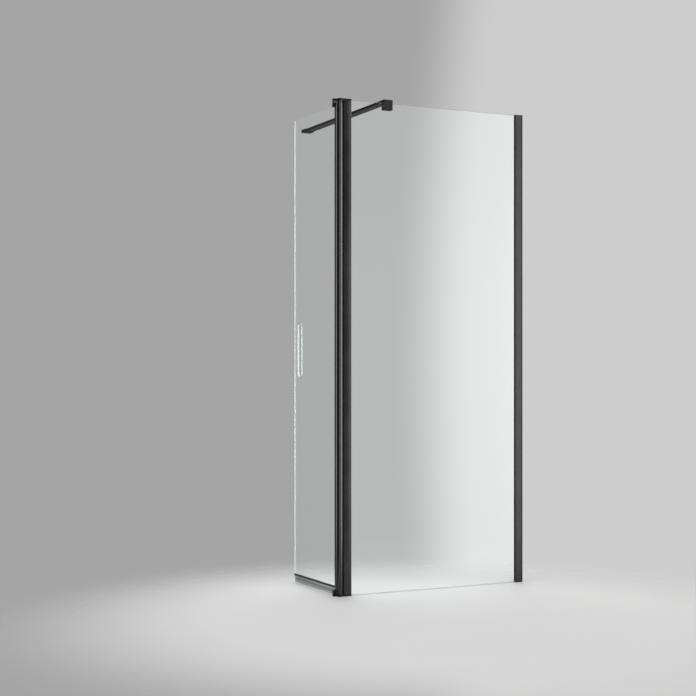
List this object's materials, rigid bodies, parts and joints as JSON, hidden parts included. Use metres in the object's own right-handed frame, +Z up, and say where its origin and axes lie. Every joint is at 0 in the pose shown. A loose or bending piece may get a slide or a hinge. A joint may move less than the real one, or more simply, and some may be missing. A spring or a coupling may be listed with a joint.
{
  "type": "walk-in shower screen",
  "caption": "Walk-in shower screen: fixed glass panel in satin black profiles, narrower glass panel that swings about the end post, flat support bar to the back wall.",
  "frame": {"origin": "on the side wall face, at the foot of the wall channel, in the middle plane of the fixed glass", "axes": "+Z up, +X out of the shower into the side wall that carries the screen, +Y from the fixed glass to the back wall"},
  "size_m": [0.892, 0.788, 2.01],
  "materials": {
    "black_aluminium": "satin powder coat",
    "black_plastic": "satin moulding",
    "glass": "clear toughened",
    "black_rubber": "matt",
    "steel": "turned",
    "black_steel": "blackened, ground",
    "grey_acetal": "satin moulding",
    "white_acetal": "satin moulding",
    "smoke_seal": "translucent extrusion",
    "clear_seal": "clear extrusion"
  },
  "bodies": {
    "fixed_screen": {"wall_channel": "black_aluminium", "wall_profile": "black_aluminium", "wall_profile_cap": "black_plastic", "lock_screws": "steel", "wall_gasket_front": "black_rubber", "wall_gasket_back": "black_rubber", "fixed_glass": "glass", "sill_seal": "clear_seal", "post_profile": "black_aluminium", "post_gasket_front": "black_rubber", "post_gasket_back": "black_rubber", "post_wiper_seal": "black_rubber", "upper_hinge_plate": "black_aluminium", "lower_hinge_plate": "black_aluminium", "upper_plate_screws": "steel", "lower_plate_screws": "steel", "upper_pivot_pin": "black_steel", "lower_pivot_pin": "black_steel", "thrust_washer": "white_acetal", "detent_block": "grey_acetal", "bar_clamp": "black_aluminium", "bar_clamp_pads": "black_rubber", "bar_clamp_screws": "steel", "bar_tongue_screw": "steel", "support_bar": "black_aluminium", "bar_wall_bracket": "black_aluminium", "bar_bracket_screw": "steel"},
    "swing_panel": {"swing_profile": "black_aluminium", "swing_glass": "glass", "swing_gasket_left": "black_rubber", "swing_gasket_right": "black_rubber", "glass_rest_block": "black_plastic", "upper_end_cap": "black_plastic", "lower_end_cap": "black_plastic", "lug_screws": "steel", "upper_bush": "white_acetal", "lower_bush": "white_acetal", "bottom_seal_clip": "black_plastic", "bottom_seal_fin": "smoke_seal"}
  },
  "joints": [
    {"name": "panel_swing", "type": "hinge", "parent": "fixed_screen", "child": "swing_panel", "pos_m": [-0.869, 0, 0], "axis": [0, 0, 1], "range_deg": [0, 180]}
  ]
}
